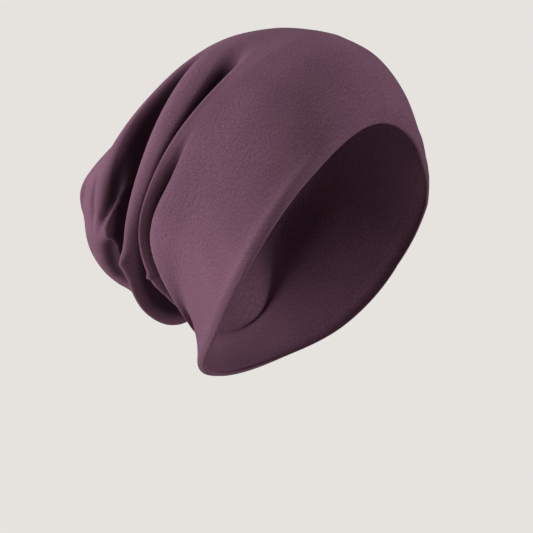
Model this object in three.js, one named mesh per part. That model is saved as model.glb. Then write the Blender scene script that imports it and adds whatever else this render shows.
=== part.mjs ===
import * as THREE from "three";

// A slouchy knitted cap as it sits on a head: one tube of doubled jersey with a turned hem round
// the face and nape, drawn into three rolls behind the crown and gathered closed at its tail.
// Millimetres, +Z up, the face towards -Y, the wearer's left towards +X. The origin is the point
// inside the crown where the top of the head carries the cap.

const WALL = 1.3; // two layers of jersey
const HEM_WALL = 2.4; // the same with the edge turned in
const CREST_WALL = 1.3; // times the wall, where the cloth doubles back over the crest of a roll
const HEM_WIDTH = 16; // how far the turned edge reaches up from the opening
const COLUMNS = 50; // facets round the tube
const CROWDING = 0.2; // how much closer the columns stand at the nape than over the crown
const FAR_SHARE = 0.85; // depth of the folds on the wearer's left against those on the right
const CURL = 3; // how far the very edge of the hem rolls inwards
const CURL_WIDTH = 6; // over this width
const BEAD = 0.8; // how far the turned edge stands proud above that
const BEAD_WIDTH = 3; // how far that reaches to each side
const COLOUR = 0x755464; // dusty plum

// Rings of the tube from the hem to the tail. Each has its top and bottom points on the middle
// plane, half its width, its squareness (1 is an ellipse), its taper (positive is wider on top),
// how far it leans back 45, 90, 120 and 150 degrees down from its top, and how many facets lie
// along the tube from it to the next one, or from it to each ring of its fold.
const RING_COLUMNS = ["name", "topY", "topZ", "bottomY", "bottomZ", "half", "square", "taper",
  "back45", "back90", "back120", "back150", "facets"];
const RINGS = [
  ["hem", -78, -56, 52, -227, 79, 1.0, 0.09, -11, -19, -16, -4, 2],
  ["turn", -79, -46, 58, -224, 76, 1.0, 0.13, -4, -13, -12, -5, 2],
  ["brow", -71, -29, 59, -214, 76, 1.0, 0.12, -2, -8, -6, -4, 2],
  ["crown", -55, -12, 59, -201, 75, 1.0, 0.11, 4, 7, 8, 0, 2],
  ["panel", -35, -3, 66, -195, 74, 1.0, 0.05, 8, 18, 26, -3, 4],
  ["rollB", -14, 1, 79, -186, 73, 1.0, 0.04, 9, 17, 20, 10, 4],
  ["rollC", 15, 1, 98, -195, 63, 1.1, 0.04, 12, 15, 12, 8, 4],
  ["rollD", 59, -13, 128, -174, 56, 1.05, -0.05, 6, 14.5, 5, 2, 4],
  ["bag", 105, -50, 149, -161, 45, 1.05, 0.0, 2, 7, 5, 2, 4],
  ["tail", 147, -84, 158, -141, 25, 1.0, 0.0, 8, 9, 2, 3, 4],
  ["tip", 164, -101, 170, -129, 12, 1.0, 0.0, 1, 2, 2, 1, 2],
  ["gather", 172, -110, 172, -116, 3, 1.0, 0.0, 0, 0, 0, 0, 0],
];

// The fold behind a ring, with a value for the side and one for low down of each: how deep it is,
// where its bottom lies between this ring (0) and the next (1), where the roll behind it is
// fullest, and how far in that lies; then the degrees from the top where it begins and ends.
const FOLD_COLUMNS = ["after", "depth", "depthLow", "place", "placeLow", "roll", "rollLow",
  "sink", "sinkLow", "start", "end"];
const FOLDS = [
  ["panel", 12, 15, 0, 0, 0.4, 0.4, 3, 4, 68, 150],
  ["rollB", 21, 18, 0.6, 0.6, 0.8, 0.8, 5, 5, 30, 136],
  ["rollC", 27, 22, 0.7, 0.6, 0.85, 0.8, 4, 5, 22, 150],
];
const SHALLOW_PLACE = 1 / 3; // where a fold's bottom lies before it begins
const SHALLOW_ROLL = 2 / 3; // and where the cloth behind it does
const ROLL_ROUNDNESS = 1.5; // how broadly the cloth turns over the crest of a roll
const FOLD_FADE = 45; // degrees over which a fold deepens
const FOLD_END = 30; // degrees over which it flattens again
const LOW_START = 100; // degrees from the top where the low values begin to count
const LOW_FADE = 45; // degrees over which they come to count in full

// Small folds laid over the rolls: a straight line from one point to another, how far the fold
// reaches to each side of it, and how high it stands or, below zero, how deep it sinks.
const CREASE_COLUMNS = ["fromX", "fromY", "fromZ", "toX", "toY", "toZ", "width", "height"];
const CREASES = [
  [-47, 99, -97, -51, 112, -127, 6, 3],
  [-53, 98, -82, -52, 118, -122, 7, -4],
];
const CREASE_END = 0.25; // share of a small fold's length over which it fades at each end

const DEGREES = Math.PI / 180;

function named(columns, rows) {
  return rows.map((row) => Object.fromEntries(columns.map((column, i) => [column, row[i]])));
}

const rings = named(RING_COLUMNS, RINGS);
const folds = named(FOLD_COLUMNS, FOLDS);
const creases = named(CREASE_COLUMNS, CREASES);

const smooth = (t) => THREE.MathUtils.smoothstep(t, 0, 1);

// Degrees down from the top of a ring, whichever side the angle is on.
function fromTop(angle) {
  return Math.abs(THREE.MathUtils.euclideanModulo(angle + Math.PI, 2 * Math.PI) - Math.PI) / DEGREES;
}

// The value between a and b with slopes slopeA and slopeB across a span of the given length.
function hermite(a, slopeA, b, slopeB, span, t) {
  const t2 = t * t;
  const t3 = t2 * t;
  return (2 * t3 - 3 * t2 + 1) * a + (t3 - 2 * t2 + t) * span * slopeA
    + (3 * t2 - 2 * t3) * b + (t3 - t2) * span * slopeB;
}

// How far a ring leans back at so many degrees from its top, level at the top and the bottom.
function leanBack(ring, degrees) {
  const at = [0, 45, 90, 120, 150, 180];
  const back = [0, ring.back45, ring.back90, ring.back120, ring.back150, 0];
  const slope = at.map((_, i) => (i === 0 || i === at.length - 1
    ? 0 : (back[i + 1] - back[i - 1]) / (at[i + 1] - at[i - 1])));
  const i = Math.min(at.findLastIndex((station) => station <= degrees), at.length - 2);
  const span = at[i + 1] - at[i];
  return hermite(back[i], slope[i], back[i + 1], slope[i + 1], span, (degrees - at[i]) / span);
}

function ringCentre(ring) {
  return new THREE.Vector3(0, (ring.topY + ring.bottomY) / 2, (ring.topZ + ring.bottomZ) / 2);
}

// A point of a ring: an ellipse on the line from its bottom to its top, leaned back off its plane.
function ringPoint(ring, angle) {
  const centre = ringCentre(ring);
  const upY = (ring.topY - ring.bottomY) / 2;
  const upZ = (ring.topZ - ring.bottomZ) / 2;
  const length = Math.hypot(upY, upZ);
  const rounded = (value) => Math.sign(value) * Math.abs(value) ** (1 / ring.square);
  const up = rounded(Math.cos(angle));
  const lean = leanBack(ring, fromTop(angle));
  return new THREE.Vector3(
    ring.half * rounded(Math.sin(angle)) * (1 + ring.taper * Math.cos(angle)),
    centre.y + up * upY + (lean * upZ) / length,
    centre.z + up * upZ - (lean * upY) / length,
  );
}

// The bottom of a fold at one angle and the fullest part of the roll behind it, both sunk towards
// the ring's middle from the smooth tube, where between(t) lies t of the way to the next ring.
function foldPoints(fold, angle, centre, between) {
  const degrees = fromTop(angle);
  const begun = smooth((degrees - fold.start) / FOLD_FADE);
  const fade = begun * (1 - smooth((degrees - fold.end) / FOLD_END));
  const low = smooth((degrees - LOW_START) / LOW_FADE);
  const { lerp } = THREE.MathUtils;
  const share = fade * (Math.sin(angle) > 0 ? FAR_SHARE : 1);
  const bottom = between(lerp(SHALLOW_PLACE, lerp(fold.place, fold.placeLow, low), fade));
  const fullest = between(lerp(SHALLOW_ROLL, lerp(fold.roll, fold.rollLow, low), fade));
  const inward = centre.clone().sub(bottom).normalize();
  bottom.addScaledVector(inward, share * lerp(fold.depth, fold.depthLow, low));
  fullest.addScaledVector(inward, share * lerp(fold.sink, fold.sinkLow, low));
  return { bottom, fullest, roundness: lerp(1, ROLL_ROUNDNESS, fade) };
}

function meanDistance(rowA, rowB) {
  return rowA.reduce((sum, point, j) => sum + point.distanceTo(rowB[j]), 0) / rowA.length;
}

// The parameter span from each row of points to the next, the root of their mean distance.
function spansOf(rows) {
  return rows.slice(1).map((row, k) => Math.sqrt(meanDistance(rows[k], row)));
}

// The slope along the tube at every point: the mean of those on its two sides, weighted by the
// other side's span.
function slopesOf(rows, spans) {
  const last = rows.length - 1;
  return rows.map((row, k) => row.map((_, j) => {
    const before = Math.max(k - 1, 0);
    const after = Math.min(k + 1, last);
    const slope = (from, span) => rows[from + 1][j].clone().sub(rows[from][j]).divideScalar(span);
    return slope(before, spans[before]).multiplyScalar(spans[after - 1])
      .addScaledVector(slope(after - 1, spans[after - 1]), spans[before])
      .divideScalar(spans[before] + spans[after - 1]);
  }));
}

// The point t of the way from point j of row k to the same point of the next row.
function pointBetween(rows, slopes, spans, k, j, t) {
  return new THREE.Vector3(...["x", "y", "z"].map((axis) => hermite(rows[k][j][axis],
    slopes[k][j][axis], rows[k + 1][j][axis], slopes[k + 1][j][axis], spans[k], t)));
}

// Every ring that the cloth runs through, with the two rings of each fold between them.
function controlRings(angles) {
  const plain = rings.map((ring) => angles.map((angle) => ringPoint(ring, angle)));
  const spans = spansOf(plain);
  const slopes = slopesOf(plain, spans);
  const even = angles.map(() => 1);
  return rings.flatMap((ring, k) => {
    const { facets } = ring;
    const fold = folds.find((each) => each.after === ring.name);
    if (!fold) return [{ points: plain[k], roundness: even, facets }];
    const places = angles.map((angle, j) => foldPoints(fold, angle, ringCentre(ring), (t) => (
      pointBetween(plain, slopes, spans, k, j, t))));
    return [
      { points: plain[k], roundness: places.map((place) => place.roundness), facets },
      { points: places.map((place) => place.bottom), roundness: even, facets },
      { points: places.map((place) => place.fullest), roundness: even, facets },
    ];
  });
}

// A smooth curve through the control rings at every angle, in rows from the hem to the tail.
function tubeRows(control, spans) {
  const points = control.map((ring) => ring.points);
  const slopes = slopesOf(points, spans).map((row, k) => (
    row.map((slope, j) => slope.multiplyScalar(control[k].roundness[j]))));
  const rows = control.slice(0, -1).flatMap((ring, k) => (
    Array.from({ length: ring.facets }, (_, i) => ring.points.map((_point, j) => (
      pointBetween(points, slopes, spans, k, j, i / ring.facets))))));
  return [...rows, points.at(-1)];
}

// How far the small folds lift a point off the tube.
function creaseHeight(point) {
  return creases.reduce((sum, crease) => {
    const from = new THREE.Vector3(crease.fromX, crease.fromY, crease.fromZ);
    const run = new THREE.Vector3(crease.toX, crease.toY, crease.toZ).sub(from);
    const t = point.clone().sub(from).dot(run) / run.lengthSq();
    const nearest = from.clone().addScaledVector(run, THREE.MathUtils.clamp(t, 0, 1));
    const away = point.distanceTo(nearest) / crease.width;
    const ends = smooth(t / CREASE_END) * smooth((1 - t) / CREASE_END);
    return sum + crease.height * Math.exp(-away * away) * ends;
  }, 0);
}

// Two triangles for each facet between rows a and b, which start at these vertex numbers.
function stripFaces(a, b, faces) {
  for (let j = 0; j < COLUMNS; j += 1) {
    const next = (j + 1) % COLUMNS;
    faces.push(a + j, b + next, b + j, a + j, a + next, b + next);
  }
}

function fanFaces(row, centre, faces) {
  for (let j = 0; j < COLUMNS; j += 1) {
    faces.push(row + j, row + ((j + 1) % COLUMNS), centre);
  }
}

function geometryFrom(points, faces) {
  const geometry = new THREE.BufferGeometry();
  geometry.setAttribute("position", new THREE.Float32BufferAttribute(
    points.flatMap((point) => point.toArray()), 3));
  geometry.setIndex(faces);
  geometry.computeVertexNormals();
  return geometry;
}

// The outward direction at every point of the rows, from the faces round it.
function outwardNormals(rows) {
  const faces = [];
  rows.slice(1).forEach((_, i) => stripFaces(i * COLUMNS, (i + 1) * COLUMNS, faces));
  const normals = geometryFrom(rows.flat(), faces).getAttribute("normal");
  return rows.map((row, i) => row.map((_, j) => (
    new THREE.Vector3().fromBufferAttribute(normals, i * COLUMNS + j))));
}

// The inner face: a smooth curve through points one wall in from the outer rows that start and
// halve each span, so that it has no kinks inside the tight folds.
function innerRows(outer, control, spans) {
  const normals = outwardNormals(outer);
  const even = control[0].points.map(() => 1);
  const halves = control.flatMap(({ facets, roundness }) => (facets
    ? [{ facets: facets / 2, roundness }, { facets: facets / 2, roundness: even }]
    : [{ facets: 0, roundness: even }]));
  let row = 0;
  let reach = 0;
  const guides = halves.map(({ facets, roundness }) => {
    const plain = THREE.MathUtils.lerp(HEM_WALL, WALL, smooth(reach / HEM_WIDTH));
    const wall = (j) => plain * THREE.MathUtils.mapLinear(roundness[j], 1, ROLL_ROUNDNESS, 1, CREST_WALL);
    const points = outer[row].map((point, j) => (
      point.clone().addScaledVector(normals[row][j], -wall(j))));
    reach += meanDistance(outer[row], outer[row + facets]);
    row += facets;
    return { points, roundness: even, facets };
  });
  return tubeRows(guides, spans.flatMap((span) => [span / 2, span / 2]));
}

function centreOf(row) {
  return row.reduce((sum, point) => sum.add(point), new THREE.Vector3()).divideScalar(row.length);
}

// How far the hem's edge rolls in, under the low round bead of the turned edge.
function hemCurl(reach) {
  const fromBead = (reach - CURL_WIDTH) / BEAD_WIDTH;
  const bead = BEAD * Math.exp(-fromBead * fromBead);
  return bead - CURL * Math.max(1 - reach / CURL_WIDTH, 0) ** 2;
}

// The rows with their small folds and the curl of the hem, both square to the tube's middle line.
function finishedRows(rows) {
  let reach = 0;
  return rows.map((row, i) => {
    const centre = centreOf(row);
    reach += i > 0 ? meanDistance(rows[i - 1], row) : 0;
    return row.map((point) => point.clone().addScaledVector(
      point.clone().sub(centre).normalize(), creaseHeight(point) + hemCurl(reach)));
  });
}

// The cap's cloth as one closed wall: outer face, rounded edge of the hem, inner face.
function capGeometry() {
  const angles = Array.from({ length: COLUMNS }, (_, j) => {
    const turn = (2 * Math.PI * j) / COLUMNS;
    return turn + CROWDING * Math.sin(turn);
  });
  const control = controlRings(angles);
  const spans = spansOf(control.map((ring) => ring.points));
  const smoothRows = tubeRows(control, spans);
  const inner = finishedRows(innerRows(smoothRows, control, spans));
  const outer = finishedRows(smoothRows);
  const edge = outer[0].map((point, j) => {
    const back = outer[1][j].clone().sub(point).normalize();
    return point.clone().lerp(inner[0][j], 0.5).addScaledVector(back, -HEM_WALL / 2);
  });
  const rows = [...inner.slice().reverse(), edge, ...outer];
  const faces = [];
  rows.slice(1).forEach((_, i) => stripFaces(i * COLUMNS, (i + 1) * COLUMNS, faces));
  const points = rows.flat();
  const innerEnd = points.push(centreOf(rows[0])) - 1;
  const outerEnd = points.push(centreOf(rows.at(-1))) - 1;
  fanFaces((rows.length - 1) * COLUMNS, outerEnd, faces);
  const fan = [];
  fanFaces(0, innerEnd, fan);
  faces.push(...fan.reverse());
  return geometryFrom(points, faces);
}

const jersey = new THREE.MeshStandardMaterial({ color: COLOUR, roughness: 0.92, metalness: 0 });
const cap = new THREE.Mesh(capGeometry(), jersey);
cap.name = "cap";

const object = new THREE.Group();
object.add(cap);

export default object;
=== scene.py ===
import math
import bpy
import numpy as np
from mathutils import Matrix, Vector


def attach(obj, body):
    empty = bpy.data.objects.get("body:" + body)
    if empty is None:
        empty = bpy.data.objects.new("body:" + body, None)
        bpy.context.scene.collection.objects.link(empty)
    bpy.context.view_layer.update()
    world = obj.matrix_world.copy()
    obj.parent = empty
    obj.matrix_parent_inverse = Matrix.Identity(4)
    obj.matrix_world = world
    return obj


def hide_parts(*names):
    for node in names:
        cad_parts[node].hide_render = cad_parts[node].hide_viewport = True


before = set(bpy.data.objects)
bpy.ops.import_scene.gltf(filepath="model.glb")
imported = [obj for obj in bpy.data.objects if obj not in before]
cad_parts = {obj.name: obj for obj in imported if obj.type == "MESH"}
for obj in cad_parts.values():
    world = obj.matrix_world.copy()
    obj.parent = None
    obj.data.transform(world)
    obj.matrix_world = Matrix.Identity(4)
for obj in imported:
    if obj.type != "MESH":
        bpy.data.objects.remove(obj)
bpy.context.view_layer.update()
print("frame loaded:", sorted(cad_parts))

mmInMetre = 1000

# The camera stands on the cap's right as worn, a little above its middle.
shot = {
    "azimuth": -50,  # degrees round from the front
    "elevation": 4,  # degrees up
    "distance": 1500,  # mm from the plane that the scale is for
    "scale": 0.64,  # mm a pixel there
    "frame": 533,  # pixels each way
    "originAt": (288, 31),  # pixel where the frame's origin lies
    "sensor": 36,  # mm
}


def cameraAxes(azimuth, elevation):
    # back points from the cap to the camera, right lies level, and up is square to both
    a, e = math.radians(azimuth), math.radians(elevation)
    back = np.array([math.sin(a) * math.cos(e), -math.cos(a) * math.cos(e), math.sin(e)])
    right = np.array([math.cos(a), math.sin(a), 0.0])
    return right, np.cross(back, right), back


def addCamera():
    # the target is the origin moved by its pixels' distance from the middle of the picture, and
    # the lens is long enough for a pixel to cover the scale at that distance
    right, up, back = cameraAxes(shot["azimuth"], shot["elevation"])
    middle = shot["frame"] / 2
    aside, down = middle - shot["originAt"][0], middle - shot["originAt"][1]
    target = (right * aside - up * down) * shot["scale"]
    place = (target + back * shot["distance"]) / mmInMetre
    data = bpy.data.cameras.new("camera")
    data.sensor_width = shot["sensor"]
    data.lens = shot["sensor"] * shot["distance"] / (shot["frame"] * shot["scale"])
    camera = bpy.data.objects.new("camera", data)
    bpy.context.collection.objects.link(camera)
    turn = np.column_stack([right, up, back])
    camera.matrix_world = Matrix.Translation(Vector(place)) @ Matrix(turn.tolist()).to_4x4()
    bpy.context.scene.camera = camera
    return right, up, back


viewRight, viewUp, viewBack = addCamera()
print("camera set")


# The cap: a tube of doubled jersey, in millimetres until it goes into the mesh.
capForm = {
    "columns": 330,  # facets round the tube
    "rowStep": 1.9,  # mm along it from one row of facets to the next
    "innerFacets": 3,  # rows of facets of the inner face in half the span between two rings
    "crowding": 0.2,  # how much closer the columns stand at the nape than over the crown
    "wall": 1.3,  # mm, two layers of jersey
    "hemWall": 2.4,  # mm, the same with the edge turned in
    "hemWidth": 16,  # mm that the turned edge reaches up from the opening
    "hemFacets": 6,  # facets round the edge of the hem
    "crestWall": 1.3,  # times the wall, where the cloth doubles back over the crest of a roll
    "farShare": 0.85,  # depth of the folds on the left as worn against those on the right
    "roundness": 1.5,  # how broadly the cloth turns over the crest of a roll
    "foldFade": 45,  # degrees over which a fold deepens
    "foldEnd": 30,  # degrees over which it flattens again
    "lowStart": 100,  # degrees from the top where the low values begin to count
    "lowFade": 45,  # degrees over which they come to count in full
    "evenPlace": 1 / 3,  # where a fold's two rings lie on the way to the next ring
    "evenRoll": 2 / 3,  # where the fold has faded out
    "curl": 2.0,  # mm that the very edge of the hem rolls inwards
    "curlWidth": 6,  # mm over which it does
    "bead": 0.8,  # mm that the turned edge stands proud above that
    "beadWidth": 3,  # mm that the bead reaches to each side
    "creasePaintedShade": 1.6,  # painted shade in a small fold against that of a large one as deep
}

# Rings from the hem to the tail: top and bottom points on the middle plane, half the width,
# squareness (1 is an ellipse), taper (positive is wider on top), and how far the ring leans
# back 45, 90, 120 and 150 degrees down from its top.
ringColumns = ("name topY topZ bottomY bottomZ half square taper"
               " back45 back90 back120 back150").split()
ringRows = [
    ("hem", -78, -56, 52, -227, 82, 1.0, 0.04, -11, -19, -16, -4),
    ("turn", -79, -46, 58, -224, 78, 1.0, 0.09, -4, -13, -12, -5),
    ("brow", -71, -29, 59, -214, 76, 1.0, 0.12, -2, -8, -6, -4),
    ("crown", -55, -12, 59, -201, 75, 1.0, 0.11, 4, 7, 8, 0),
    ("panel", -35, -3, 66, -195, 74, 1.0, 0.05, 8, 18, 25, -5),
    ("rollB", -14, 1, 79, -186, 73, 1.0, 0.04, 2, 15.5, 20, 10),
    ("rollC", 15, 1, 98, -195, 63, 1.1, 0.04, 13, 18, 17, 9),
    ("rollD", 59, -13, 128, -174, 56, 1.05, -0.05, 6, 14.5, 5, 2),
    ("bag", 105, -50, 149, -161, 45, 1.05, 0.0, 2, 7, 5, 2),
    ("tail", 147, -84, 158, -141, 25, 1.0, 0.0, 8, 9, 2, 3),
    ("tip", 164, -101, 170, -129, 12, 1.0, 0.0, 1, 2, 2, 1),
    ("gather", 172, -110, 172, -116, 3, 1.0, 0.0, 0, 0, 0, 0),
]
leanAt = np.array([0, 45, 90, 120, 150, 180], float)

# The fold behind a ring, with a value for the side and one for low down of each: how deep it is,
# where its bottom lies between this ring (0) and the next (1), where the roll behind it is
# fullest, and how far in that lies; then the degrees from the top where it begins and ends.
foldColumns = "after depth depthLow place placeLow roll rollLow sink sinkLow start end".split()
foldRows = [
    ("panel", 15, 23, 0.5, 0.65, 0.75, 0.85, 2, 5, 68, 158),
    ("rollB", 21, 27, 0.22, 0.5, 0.42, 0.7, 2, 5, 24, 162),
    ("rollC", 34, 27, 0.8, 0.7, 0.9, 0.88, 4, 6, 22, 150),
]

# Small folds laid over the rolls: the points of each one's line, how far the fold reaches to each
# side there, and how high it stands or, below zero, how deep it sinks; a sinking one also takes
# painted shade.
creaseColumns = "crease x y z width height".split()
creaseRows = [
    ("groove", -53, 94, -77, 4, 0),  # down the side of the roll D
    ("groove", -53, 101, -90, 6, -3),
    ("groove", -54, 106, -103, 5.5, -6),
    ("groove", -54, 109.5, -113, 4.5, -6.5),
    ("groove", -53, 116, -123, 3, -5),
    ("groove", -51, 121, -130, 2.5, -1),
    ("ridge", -46, 93, -95, 2, 0),  # in front of the groove
    ("ridge", -47, 98, -103, 2.4, 3),
    ("ridge", -49, 100.5, -109, 3, 5),
    ("ridge", -51, 105, -119, 4.2, 5),
    ("ridge", -51, 109, -127, 4.5, 4),
    ("ridge", -49, 113, -133, 3.5, 1),
    ("pocket", -46, 100, -113, 3, -1),  # between the ridge and the roll C
    ("pocket", -46, 102, -121, 4, -3),
    ("pocket", -46, 106, -128, 4, -3.5),
    ("pocket", -46, 112, -135, 3, -2),
    ("upperFold", -51, 19, -34, 2.5, 0),  # between the rolls B and C, near the crown
    ("upperFold", -48, 14, -29, 2.5, -1.5),
    ("upperFold", -46, 8, -24.5, 2.5, -2),
    ("upperFold", -46, 2, -22, 2.5, -1.5),
    ("upperFold", -46, -5, -19, 2.5, 0),
    ("glint", -45, 101, -106, 1.6, 1),  # light edge high in the pocket
    ("glint", -45.5, 100, -110, 2, 4.5),
    ("glint", -44, 97.5, -113, 1.6, 1),
    ("facet", -49, 113, -135, 2, 1),  # light fold at the foot of the pocket
    ("facet", -46.5, 110.5, -136.5, 2, 4.5),
    ("facet", -43, 107.5, -139.5, 2.2, 4.5),
    ("facet", -42, 107.5, -143, 4, 3),
    ("facet", -40, 109, -147, 4, 2),
    ("lobe", -54, 94, -141, 4, 1),  # swelling at the edge of the roll C
    ("lobe", -53, 96, -148, 5.5, 5),
    ("lobe", -50, 98, -155, 5, 2),
    ("hollow", -47, 115.5, -141, 4.5, -5),  # low in the roll D
    ("hollow", -45, 119, -145, 6.5, -7),
    ("hollow", -40, 122, -152, 7, -8),
    ("hollow", -33, 125, -159, 7, -8),
    ("hollow", -26, 126, -166, 6.5, -7),
    ("hollow", -20, 125, -170, 4, -2),
    ("underHollow", -38, 90, -158, 4, -3),  # low in the roll C
    ("underHollow", -32, 90, -164, 7, -6),
    ("underHollow", -27, 88, -171, 7, -6),
    ("underHollow", -14, 86, -180, 5, -4),
    ("lobeHollow", -30, 93, -170, 4, 0),  # under the lobe
    ("lobeHollow", -25, 91, -176, 6, -5),
    ("lobeHollow", -17, 89, -182, 6, -4),
    ("lobeHollow", -8, 90, -187, 4, 0),
    ("footLine", -43, 88, -155, 2, 0),  # across the foot of the roll B
    ("footLine", -44, 80, -158, 2, 3),
    ("footLine", -42, 74, -161, 2, 3),
    ("footLine", -49, 62, -164, 2, 0),
    ("pucker", -52, 118, -90, 3, 0),  # down the side of the bag
    ("pucker", -49, 124, -97, 3, -2),
    ("pucker", -50, 126, -107, 3, -3),
    ("pucker", -50, 127, -119, 3, -2.5),
    ("pucker", -47, 130, -133, 3, 0),
    ("tailPucker", -33, 150, -92, 3, -1),
    ("tailPucker", -34, 150, -104, 3, -2.5),
    ("tailPucker", -36, 148, -118, 3, -1),
    ("farFlare", 58, -66, -80, 12, 0),  # the hem stands off on the left as worn
    ("farFlare", 66, -61, -96, 18, 3),
    ("farFlare", 74, -54, -114, 22, 5),
    ("farFlare", 78, -42, -132, 20, 3),
    ("farFlare", 80, -28, -152, 18, 0),
    ("tailEdge", -24, 160, -88, 7, 0),  # slack edge of the tail
    ("tailEdge", -28, 157, -104, 10, 1.5),
    ("tailEdge", -33, 151, -116, 8, 1.5),
    ("tailEdge", -38, 145, -124, 5, 0),
]


def named(columns, rows):
    # each row of a table as a dictionary by its columns' names
    return [dict(zip(columns, row)) for row in rows]


def smooth(t):
    # 0 below 0, 1 above 1, and 3t^2 - 2t^3 between
    t = np.clip(t, 0, 1)
    return t * t * (3 - 2 * t)


def mix(a, b, share):
    # the straight line from a at share 0 to b at share 1
    return a + (b - a) * share


def hermite(a, slopeA, b, slopeB, span, t):
    # the cubic from a to b that leaves with slopeA and arrives with slopeB
    return ((2 * t**3 - 3 * t**2 + 1) * a + (t**3 - 2 * t**2 + t) * span * slopeA
            + (3 * t**2 - 2 * t**3) * b + (t**3 - t**2) * span * slopeB)


def length(vectors):
    # the root of the sum of squares, kept as a last axis so that it divides them
    return np.linalg.norm(vectors, axis=-1, keepdims=True)


def meanStep(rows):
    # the distance from each row to the next, averaged round it
    return length(np.diff(rows, axis=0))[..., 0].mean(axis=1)


def ringSlopes(guides, spans):
    # the mean of the slopes on a ring's two sides, each weighted by the span of the other side
    step = spans[:, None, None]
    joins = np.diff(guides, axis=0) / step
    inner = (joins[:-1] * step[1:] + joins[1:] * step[:-1]) / (step[1:] + step[:-1])
    return np.concatenate([joins[:1], inner, joins[-1:]])


def tube(guides, spans, facets, roundness=1.0):
    # in every column a cubic through the guide rings with its slopes times the roundness, cut into
    # the given number of facets in each span
    slopes = ringSlopes(guides, spans) * roundness
    at = np.repeat(np.arange(len(facets)), facets)
    t = np.concatenate([np.arange(count) / count for count in facets])[:, None, None]
    rows = hermite(guides[at], slopes[at], guides[at + 1], slopes[at + 1], spans[at, None, None], t)
    return np.concatenate([rows, guides[-1:]])


def outward(rows):
    # the cross product of the steps round and along the grid, made one long
    along = np.gradient(rows, axis=0)
    sideways = np.roll(rows, -1, axis=1) - np.roll(rows, 1, axis=1)
    normals = np.cross(sideways, along)
    return normals / length(normals)


def fromTop(angles):
    # degrees down from the top, 0 to 180 on both sides
    return np.degrees(np.abs((angles + np.pi) % (2 * np.pi) - np.pi))


def leanBack(ring, degrees):
    # a cubic through the ring's lean at leanAt, level at the top and the bottom
    back = np.array([0, ring["back45"], ring["back90"], ring["back120"], ring["back150"], 0], float)
    slope = np.zeros_like(back)
    slope[1:-1] = (back[2:] - back[:-2]) / (leanAt[2:] - leanAt[:-2])
    i = np.clip(np.searchsorted(leanAt, degrees, side="right") - 1, 0, len(leanAt) - 2)
    span = leanAt[i + 1] - leanAt[i]
    t = (degrees - leanAt[i]) / span
    return hermite(back[i], slope[i], back[i + 1], slope[i + 1], span, t)


def ringCentre(ring):
    # halfway from the ring's top to its bottom
    return np.array([0, (ring["topY"] + ring["bottomY"]) / 2, (ring["topZ"] + ring["bottomZ"]) / 2])


def ringPoints(ring, angles):
    # an ellipse on the line from the ring's bottom to its top, squared off by the power of its
    # sine and cosine, tapered by the cosine and leaned back off its plane
    up = np.array([0, ring["topY"] - ring["bottomY"], ring["topZ"] - ring["bottomZ"]]) / 2
    behind = np.array([0, up[2], -up[1]]) / length(up)
    s, c = np.sin(angles), np.cos(angles)
    power = 1 / ring["square"]
    aside = ring["half"] * np.sign(s) * np.abs(s) ** power * (1 + ring["taper"] * c)
    height = np.sign(c) * np.abs(c) ** power
    return (ringCentre(ring) + np.outer(aside, [1, 0, 0]) + np.outer(height, up)
            + np.outer(leanBack(ring, fromTop(angles)), behind))


def foldRings(fold, curve, centre, angles):
    # two rings on the curve to the next ring: the fold's bottom sinks towards the middle of the
    # tube by its depth, and the fullest part of the roll behind it by a little
    degrees = fromTop(angles)
    share = np.where(np.sin(angles) > 0, capForm["farShare"], 1.0)
    begun = smooth((degrees - fold["start"]) / capForm["foldFade"])
    fade = begun * (1 - smooth((degrees - fold["end"]) / capForm["foldEnd"]))
    low = smooth((degrees - capForm["lowStart"]) / capForm["lowFade"])
    depth = share * fade * mix(fold["depth"], fold["depthLow"], low)
    sink = share * fade * mix(fold["sink"], fold["sinkLow"], low)
    place = mix(capForm["evenPlace"], mix(fold["place"], fold["placeLow"], low), fade)
    roll = mix(capForm["evenRoll"], mix(fold["roll"], fold["rollLow"], low), fade)
    bottom, fullest = hermite(*curve, place[:, None]), hermite(*curve, roll[:, None])
    inward = centre - bottom
    inward /= length(inward)
    moved = (bottom + inward * depth[:, None], fullest + inward * sink[:, None])
    return moved, (depth, sink), fade


def guideRings(angles):
    # the rings of the table with the two rings of each fold between them, and for each how much
    # of a crest it is and how deep in a fold, which sets the painted shade
    rings = named(ringColumns, ringRows)
    folds = {fold["after"]: fold for fold in named(foldColumns, foldRows)}
    plain = np.array([ringPoints(ring, angles) for ring in rings])
    spans = np.sqrt(meanStep(plain))
    slopes = ringSlopes(plain, spans)
    level = np.zeros_like(angles)
    guides, crests, depths = [], [], []
    for k, ring in enumerate(rings):
        guides.append(plain[k])
        crests.append(level)
        depths.append(level)
        if ring["name"] in folds:
            curve = (plain[k], slopes[k], plain[k + 1], slopes[k + 1], spans[k])
            moved, sunk, fade = foldRings(folds[ring["name"]], curve, ringCentre(ring), angles)
            guides += moved
            crests[-1] = fade
            crests += [level, level]
            depths += sunk
    return np.array(guides), np.array(crests)[:, :, None], np.array(depths)[:, :, None]


def creaseHeights(points):
    # summed over the small folds, the height at the nearest point of the fold's line times a bell
    # curve of the distance to it
    total = np.zeros(points.shape[:-1])
    table = named(creaseColumns, creaseRows)
    for name in sorted({row["crease"] for row in table}):
        line = [row for row in table if row["crease"] == name]
        nearest = np.full(points.shape[:-1], np.inf)
        height = np.zeros(points.shape[:-1])
        for one, two in zip(line[:-1], line[1:]):
            start = np.array([one["x"], one["y"], one["z"]], float)
            run = np.array([two["x"], two["y"], two["z"]], float) - start
            t = np.clip((points - start) @ run / (run @ run), 0, 1)
            away = np.linalg.norm(points - start - t[..., None] * run, axis=-1)
            bell = np.exp(-(away / mix(one["width"], two["width"], t)) ** 2)
            height = np.where(away < nearest, bell * mix(one["height"], two["height"], t), height)
            nearest = np.minimum(nearest, away)
        total += height
    return total


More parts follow.
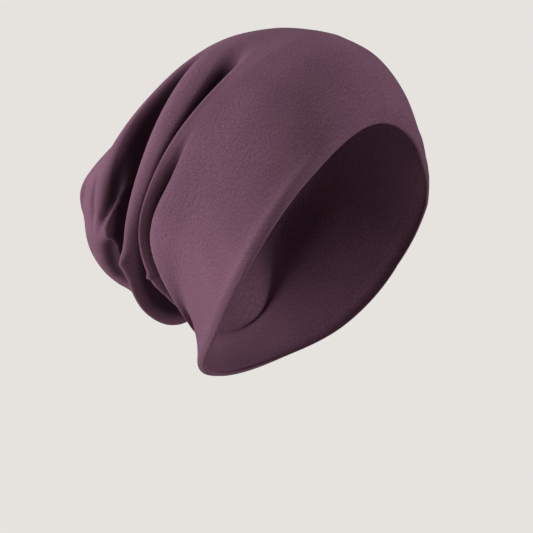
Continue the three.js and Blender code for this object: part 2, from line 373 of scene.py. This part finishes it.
def fromMiddle(rows):
    # away from the middle of the row, as small folds and the curl of the edge move both faces
    away = rows - rows.mean(axis=1, keepdims=True)
    return away / length(away)


def hemCurl(rows):
    # the edge rolls in by a share that falls with the square of the way up, under a low round bead
    reach = np.cumsum(length(np.diff(rows, axis=0, prepend=rows[:1]))[..., 0], axis=0)
    bead = capForm["bead"] * np.exp(-((reach - capForm["curlWidth"]) / capForm["beadWidth"]) ** 2)
    return bead - capForm["curl"] * np.clip(1 - reach / capForm["curlWidth"], 0, 1) ** 2


def capRows():
    # both faces of the cloth from the hem to the tail: the outer one through the guide rings, the
    # inner one through points one wall in from the start and the middle of each of its spans
    turn = 2 * np.pi * np.arange(capForm["columns"]) / capForm["columns"]
    angles = turn + capForm["crowding"] * np.sin(turn)
    guides, crests, depths = guideRings(angles)
    spans = np.sqrt(meanStep(guides))
    facets = 2 * np.ceil(meanStep(guides) / capForm["rowStep"] / 2).astype(int)
    outer = tube(guides, spans, facets, mix(1, capForm["roundness"], crests))
    deep = tube(depths, spans, facets)[..., 0]
    starts = np.concatenate([[0], np.cumsum(facets)])
    marks = np.sort(np.concatenate([starts, starts[:-1] + facets // 2]))
    reach = np.concatenate([[0], np.cumsum(meanStep(outer))])[marks]
    wall = mix(capForm["hemWall"], capForm["wall"], smooth(reach / capForm["hemWidth"]))
    wall = wall[:, None, None] * np.ones_like(outer[marks][:, :, :1])
    wall[::2] *= mix(1, capForm["crestWall"], crests)
    inside = outer[marks] - outward(outer)[marks] * wall
    halves = np.repeat(spans / 2, 2)
    inner = tube(inside, halves, np.full(len(halves), capForm["innerFacets"]))
    small = creaseHeights(outer)
    inner = inner + fromMiddle(inner) * (creaseHeights(inner) + hemCurl(inner))[..., None]
    outer = outer + fromMiddle(outer) * (small + hemCurl(outer))[..., None]
    # the third is the depth in the folds, less the small folds' heights, and sets the painted shade
    return outer, inner, deep - capForm["creasePaintedShade"] * small


def hemEdge(outer, inner):
    # half a circle from the inner face to the outer one, standing off the end of the tube
    middle = (outer[0] + inner[0]) / 2
    reach = (outer[0] - inner[0]) / 2
    down = outer[0] - outer[1]
    down *= length(reach) / length(down)
    a = np.pi * np.arange(1, capForm["hemFacets"]) / capForm["hemFacets"]
    a = a[:, None, None]
    return middle - reach * np.cos(a) + down * np.sin(a)


def gridFaces(rows, columns):
    # a face has a point, the next one round, and the same two of the next row
    i, j = np.meshgrid(np.arange(rows - 1), np.arange(columns), indexing="ij")
    k = (j + 1) % columns
    here, on = i * columns, (i + 1) * columns
    return np.stack([here + j, here + k, on + k, on + j], axis=-1).reshape(-1, 4)


def clothMap(rows):
    # how far round and along the cloth the corners of the faces and of both fans lie, in mm
    count, columns = rows.shape[:2]
    along = np.concatenate([[0], np.cumsum(meanStep(rows))])
    roundStep = length(rows - np.roll(rows, -1, axis=1))[..., 0].max(axis=0)
    across = np.concatenate([[0], np.cumsum(roundStep)])
    i, j = np.divmod(np.arange((count - 1) * columns), columns)
    k = np.arange(columns)
    first, last = np.zeros_like(k), np.full_like(k, count - 1)
    quads = [(j, i), (j + 1, i), (j + 1, i + 1), (j, i + 1)]
    startFan = [(k + 1, first), (k, first), (k, first)]
    endFan = [(k, last), (k + 1, last), (k, last)]
    maps = []
    for corners in (quads, startFan, endFan):
        pairs = [np.column_stack([across[column], along[row]]) for column, row in corners]
        maps.append(np.stack(pairs, axis=1).reshape(-1, 2))
    return np.concatenate(maps)


def meshFromRows(name, rows):
    # quads between the rows and a fan from the middle of each end over it
    count, columns = rows.shape[:2]
    points = np.concatenate([rows.reshape(-1, 3), rows[:1].mean(axis=1), rows[-1:].mean(axis=1)])
    j = np.arange(columns)
    k = (j + 1) % columns
    last = (count - 1) * columns
    startFan = np.column_stack([k, j, np.full(columns, count * columns)])
    endFan = np.column_stack([last + j, last + k, np.full(columns, count * columns + 1)])
    faces = gridFaces(count, columns).tolist() + startFan.tolist() + endFan.tolist()
    mesh = bpy.data.meshes.new(name)
    mesh.from_pydata((points / mmInMetre).tolist(), [], faces)
    mesh.polygons.foreach_set("use_smooth", np.ones(len(faces), bool))
    mesh.uv_layers.new(name="cloth").data.foreach_set("uv", clothMap(rows).ravel())
    mesh.validate()
    return mesh


def linear(hexColour):
    # sRGB hex to the linear values that Blender's sockets take, by the standard's curve
    s = np.array([int(hexColour[i:i + 2], 16) for i in (1, 3, 5)]) / 255
    return (*np.where(s <= 0.04045, s / 12.92, ((s + 0.055) / 1.055) ** 2.4).tolist(), 1.0)


def addNode(tree, kind, settings=(), **inputs):
    # one node with its settings; an input goes by its label, or by i and its number, and is a
    # value or another node's socket
    node = tree.nodes.new(kind)
    for key, value in dict(settings).items():
        setattr(node, key, value)
    for key, value in inputs.items():
        byNumber = key[0] == "i" and key[1:].isdigit()
        socket = node.inputs[int(key[1:]) if byNumber else key]
        if isinstance(value, bpy.types.NodeSocket):
            tree.links.new(value, socket)
        else:
            socket.default_value = value
    return node


# Doubled viscose jersey, circular knitted and dyed plum: matt, heathered by the pile of its yarns,
# with a soft pale sheen at grazing angles and painted shade in its folds. The stitches run in ribs
# from the hem to the tail.
jerseyLook = {
    "colour": "#6b4a5d",
    "lightColour": "#875f73",  # on the high points of the grain
    "lightFrom": 0.52,  # grain and dye together, where the light colour begins
    "lightTo": 0.68,  # and where it counts in full
    "dyeShare": 0.2,  # of the dye's unevenness against the grain
    "dyeSpread": 50,  # mm from one shade of the dye to the next
    "paintedShadeColour": "#2b1624",  # painted shade down in the folds, standing in for their shadow
    "paintedShadeShare": 0.85,  # of that colour in the deepest fold
    "paintedShadeFrom": 1,  # mm under the smooth form where it begins
    "paintedShadeTo": 9,  # and where it counts in full
    "ribSpacing": 0.7,  # mm, about a pixel of the picture
    "ribWaver": 0.6,  # how far the ribs stray from straight
    "ribDetail": 1.0,  # how finely they stray
    "grain": 0.75,  # mm wide, coarser than the real pile, so that it shows
    "grainLength": 2,  # times its width, along the ribs
    "grainDetail": 3.0,
    "grainRoughness": 0.7,  # how strong the finer grains are
    "grainRelief": 5.0,  # height of the grain against that of the ribs
    "bumpStrength": 0.35,
    "bumpHeight": 0.0001,  # metres
    "roughness": 0.92,
    "specular": 0.15,
    "sheen": 0.03,
    "sheenRoughness": 0.5,
    "sheenTint": "#cc9cb8",
}
ribUnit = 2 * math.pi / 20  # from band to band of a wave texture whose scale is 1


def jerseyMaterial():
    # the light colour where the grain is high, painted shade in the dark fold colour by the depth
    # in the folds, and a bump of grain and ribs
    material = bpy.data.materials.new("plumDoubledJersey")
    material.use_nodes = True
    tree = material.node_tree
    tree.nodes.clear()
    where = addNode(tree, "ShaderNodeUVMap", {"uv_map": "cloth"}).outputs["UV"]
    ribs = addNode(tree, "ShaderNodeTexWave", {"wave_type": "BANDS", "bands_direction": "X"},
                   Vector=where, Scale=ribUnit / jerseyLook["ribSpacing"],
                   Distortion=jerseyLook["ribWaver"], Detail=jerseyLook["ribDetail"])
    stretched = addNode(tree, "ShaderNodeMapping", Vector=where,
                        Scale=(1.0, 1 / jerseyLook["grainLength"], 1.0))
    grain = addNode(tree, "ShaderNodeTexNoise", Vector=stretched.outputs[0],
                    Scale=1 / jerseyLook["grain"], Detail=jerseyLook["grainDetail"],
                    Roughness=jerseyLook["grainRoughness"])
    dye = addNode(tree, "ShaderNodeTexNoise", Vector=where, Scale=1 / jerseyLook["dyeSpread"])
    shade = addNode(tree, "ShaderNodeMath", {"operation": "MULTIPLY_ADD"},
                    i0=dye.outputs[0], i1=jerseyLook["dyeShare"], i2=grain.outputs[0])
    light = addNode(tree, "ShaderNodeMapRange", i0=shade.outputs[0],
                    i1=jerseyLook["lightFrom"], i2=jerseyLook["lightTo"])
    colour = addNode(tree, "ShaderNodeMix", {"data_type": "RGBA"}, i0=light.outputs[0],
                     i6=linear(jerseyLook["colour"]), i7=linear(jerseyLook["lightColour"]))
    # painted shade: the depth in the folds mixes in the dark fold colour
    depth = addNode(tree, "ShaderNodeAttribute", {"attribute_name": "paintedShadeDepth"}).outputs["Fac"]
    inShade = addNode(tree, "ShaderNodeMapRange", {"interpolation_type": "SMOOTHSTEP"},
                      i0=depth, i1=jerseyLook["paintedShadeFrom"], i2=jerseyLook["paintedShadeTo"],
                      i4=jerseyLook["paintedShadeShare"])
    shaded = addNode(tree, "ShaderNodeMix", {"data_type": "RGBA"}, i0=inShade.outputs[0],
                     i6=colour.outputs[2], i7=linear(jerseyLook["paintedShadeColour"]))
    height = addNode(tree, "ShaderNodeMath", {"operation": "MULTIPLY_ADD"},
                     i0=grain.outputs[0], i1=jerseyLook["grainRelief"], i2=ribs.outputs[0])
    bump = addNode(tree, "ShaderNodeBump", Strength=jerseyLook["bumpStrength"],
                   Distance=jerseyLook["bumpHeight"], Height=height.outputs[0])
    cloth = addNode(tree, "ShaderNodeBsdfPrincipled", **{
        "Base Color": shaded.outputs[2],
        "Roughness": jerseyLook["roughness"],
        "Specular IOR Level": jerseyLook["specular"],
        "Sheen Weight": jerseyLook["sheen"],
        "Sheen Roughness": jerseyLook["sheenRoughness"],
        "Sheen Tint": linear(jerseyLook["sheenTint"]),
        "Normal": bump.outputs[0],
    })
    addNode(tree, "ShaderNodeOutputMaterial", Surface=cloth.outputs[0])
    return material


outer, inner, deep = capRows()
rows = np.concatenate([inner[::-1], hemEdge(outer, inner), outer])
cap = bpy.data.objects.new("capCloth", meshFromRows("capCloth", rows))
# depth in the folds on the outer face for the painted shade; none on the inner face and the hem
paintedShadeDepth = np.zeros(len(cap.data.vertices), np.float32)
outerStart = (len(rows) - len(outer)) * rows.shape[1]
paintedShadeDepth[outerStart:outerStart + deep.size] = deep.ravel()
cap.data.attributes.new("paintedShadeDepth", "FLOAT", "POINT").data.foreach_set("value", paintedShadeDepth)
bpy.context.collection.objects.link(cap)
cap.data.materials.append(jerseyMaterial())
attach(cap, "root")
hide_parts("cap")
print("cap made:", rows.shape[0], "rows of", rows.shape[1])


# Studio lights, a pale wall all round, and a floor in matt pale paint, which scatters the light
# evenly and has no gloss. Lengths in metres.
studio = {
    "lights": [  # name, direction as camera's right, up and back, size in m, power in W
        ("keyLight", (-0.98, 0.03, 0.09), 0.45, 18),
        ("topLight", (0.0, 0.98, 0.1), 1.2, 5),
        ("rimLeft", (-0.51, 0.73, -0.45), 0.8, 6),
        ("rimRight", (0.82, 0.3, 0.42), 0.8, 9.5),
    ],
    "distance": 1.4,  # from the lights to the point that they aim at
    "aim": (0, 0.04, -0.11),
    "wall": "#e6e3df",
    "wallLight": 0.08,  # strength of the wall as a light
    "wallSeen": 1.0,  # and as the camera sees it
    "floor": "#e4e1dd",
    "floorRoughness": 0.9,
    "floorGlow": 0.45,  # added for the camera alone, so that the floor looks pale
    "floorHeight": -0.95,
    "floorRadius": 2.2,
    "floorSides": 96,
}


def addFloor():
    # a level circle of straight sides
    sides = studio["floorSides"]
    a = 2 * np.pi * np.arange(sides) / sides
    ring = np.column_stack([np.cos(a), np.sin(a), np.zeros(sides)]) * studio["floorRadius"]
    ring[:, 2] = studio["floorHeight"]
    mesh = bpy.data.meshes.new("floor")
    mesh.from_pydata(ring.tolist(), [], [list(range(sides))])
    floor = bpy.data.objects.new("floor", mesh)
    bpy.context.collection.objects.link(floor)
    material = bpy.data.materials.new("matPaintedFloor")
    material.use_nodes = True
    tree = material.node_tree
    tree.nodes.clear()
    ray = addNode(tree, "ShaderNodeLightPath")
    glow = addNode(tree, "ShaderNodeMath", {"operation": "MULTIPLY"},
                   i0=ray.outputs["Is Camera Ray"], i1=studio["floorGlow"])
    paint = addNode(tree, "ShaderNodeBsdfPrincipled", **{
        "Base Color": linear(studio["floor"]),
        "Roughness": studio["floorRoughness"],
        "Emission Color": linear(studio["floor"]),
        "Emission Strength": glow.outputs[0],
    })
    addNode(tree, "ShaderNodeOutputMaterial", Surface=paint.outputs[0])
    mesh.materials.append(material)


def addLight(name, direction, size, power):
    # a square light that stands off the point aimed at in its direction, and faces it
    toLight = viewRight * direction[0] + viewUp * direction[1] + viewBack * direction[2]
    toLight /= length(toLight)
    data = bpy.data.lights.new(name, "AREA")
    data.size = size
    data.energy = power
    light = bpy.data.objects.new(name, data)
    bpy.context.collection.objects.link(light)
    light.location = Vector(np.array(studio["aim"]) + toLight * studio["distance"])
    light.rotation_euler = Vector(toLight).to_track_quat("Z", "Y").to_euler()


def addWorld():
    # the wall as strong as the camera sees it for its rays, and dimmer for all others
    world = bpy.data.worlds.new("studio")
    bpy.context.scene.world = world
    world.use_nodes = True
    tree = world.node_tree
    tree.nodes.clear()
    ray = addNode(tree, "ShaderNodeLightPath")
    strength = addNode(tree, "ShaderNodeMapRange", i0=ray.outputs["Is Camera Ray"],
                       i3=studio["wallLight"], i4=studio["wallSeen"])
    wall = addNode(tree, "ShaderNodeBackground", Color=linear(studio["wall"]),
                   Strength=strength.outputs[0])
    addNode(tree, "ShaderNodeOutputWorld", Surface=wall.outputs[0])


addFloor()
for light in studio["lights"]:
    addLight(*light)
addWorld()
bpy.context.scene.view_settings.view_transform = "Standard"  # the colours stay as they are named
print("studio lit")
